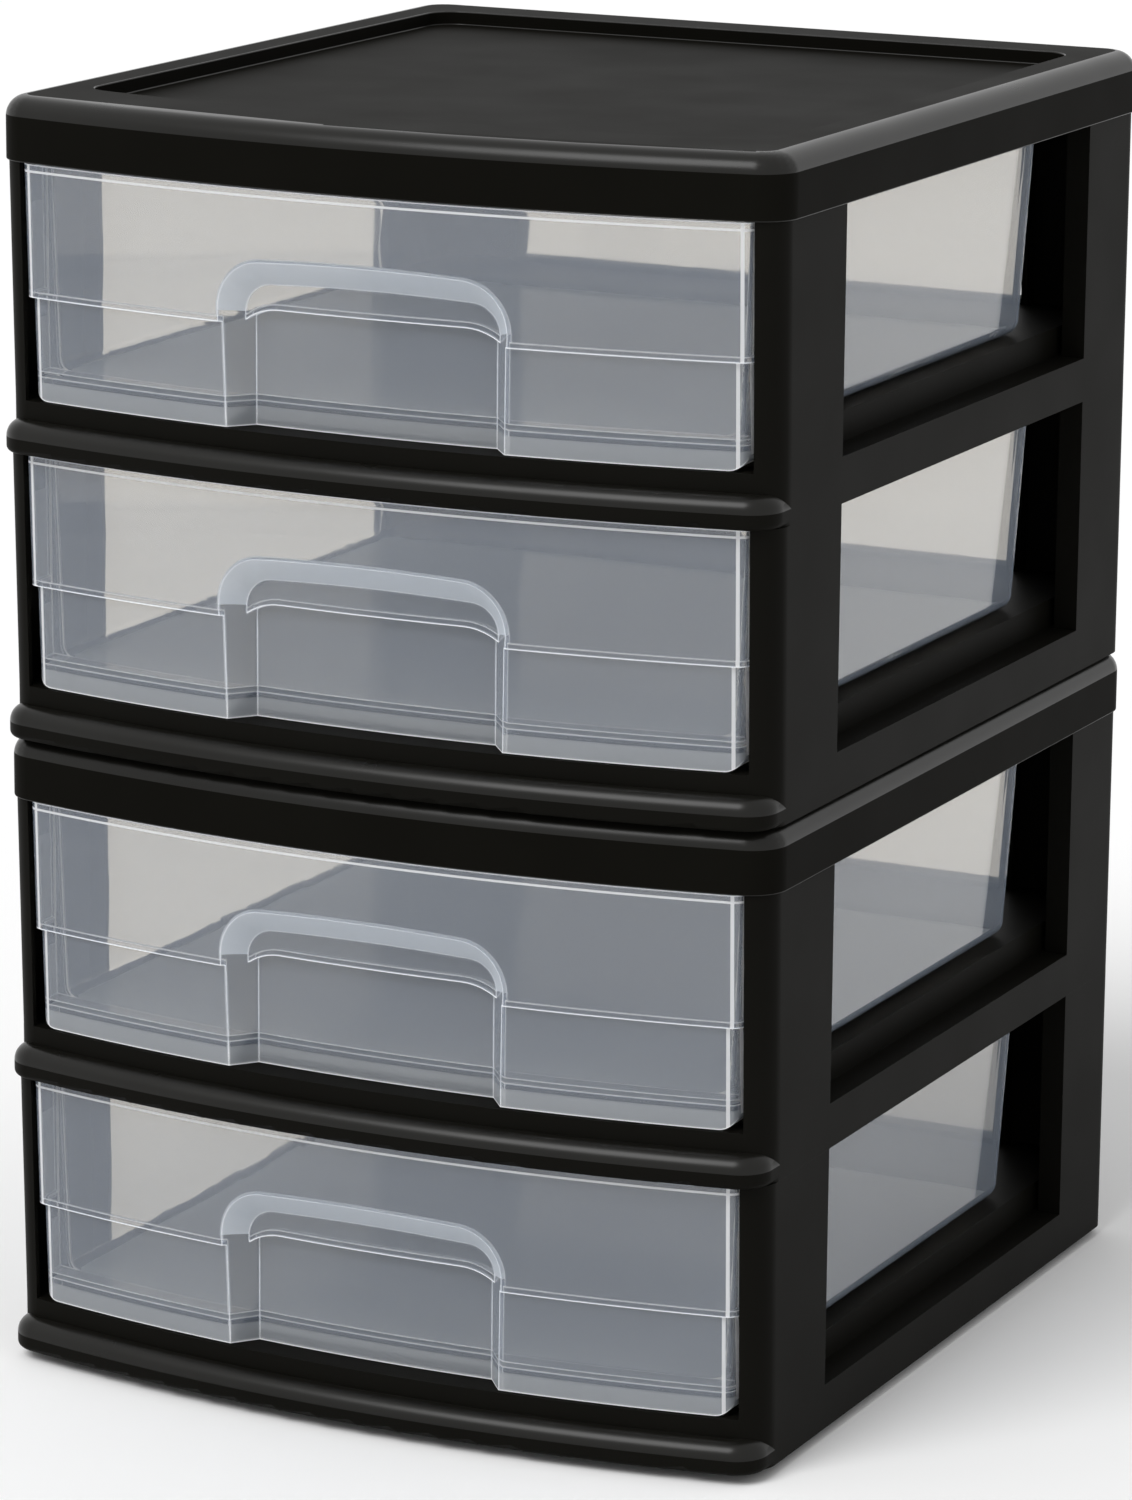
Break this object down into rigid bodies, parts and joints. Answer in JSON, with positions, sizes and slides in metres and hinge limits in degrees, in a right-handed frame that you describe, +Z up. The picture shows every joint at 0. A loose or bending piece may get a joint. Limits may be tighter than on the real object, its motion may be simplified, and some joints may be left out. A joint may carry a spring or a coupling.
{
  "type": "plastic drawer tower",
  "caption": "Free-standing plastic tower of stacked frames with a tray-topped lid on each unit and clear drawers that slide out between open-sided corner posts.",
  "frame": {"origin": "centre of the bounding box of the whole tower, at the level of the surface that it stands on", "axes": "+Z up, -Y out of the front, where the drawers open, +X to the right of someone who looks at the back"},
  "size_m": [0.321, 0.3684, 0.49],
  "materials": {
    "frame_black": "satin moulded polypropylene, black",
    "lid_black": "satin moulded polypropylene, black",
    "drawer_clear": "clear moulded polypropylene, slightly hazy, with bright edges"
  },
  "bodies": {
    "lower_unit": {"lower_base_frame": "frame_black", "lower_top_frame": "frame_black", "lower_lid": "lid_black"},
    "upper_unit": {"upper_base_frame": "frame_black", "upper_top_frame": "frame_black", "upper_lid": "lid_black"},
    "drawer_1": {"drawer_1": "drawer_clear"},
    "drawer_2": {"drawer_2": "drawer_clear"},
    "drawer_3": {"drawer_3": "drawer_clear"},
    "drawer_4": {"drawer_4": "drawer_clear"}
  },
  "joints": [
    {"name": "upper_unit_lift", "type": "slide", "parent": "lower_unit", "child": "upper_unit", "axis": [0, 0, 1], "range_m": [0, 0.1]},
    {"name": "drawer_1_slide", "type": "slide", "parent": "lower_unit", "child": "drawer_1", "axis": [0, -1, 0], "range_m": [0, 0.23]},
    {"name": "drawer_2_slide", "type": "slide", "parent": "lower_unit", "child": "drawer_2", "axis": [0, -1, 0], "range_m": [0, 0.23]},
    {"name": "drawer_3_slide", "type": "slide", "parent": "upper_unit", "child": "drawer_3", "axis": [0, -1, 0], "range_m": [0, 0.23]},
    {"name": "drawer_4_slide", "type": "slide", "parent": "upper_unit", "child": "drawer_4", "axis": [0, -1, 0], "range_m": [0, 0.23]}
  ]
}
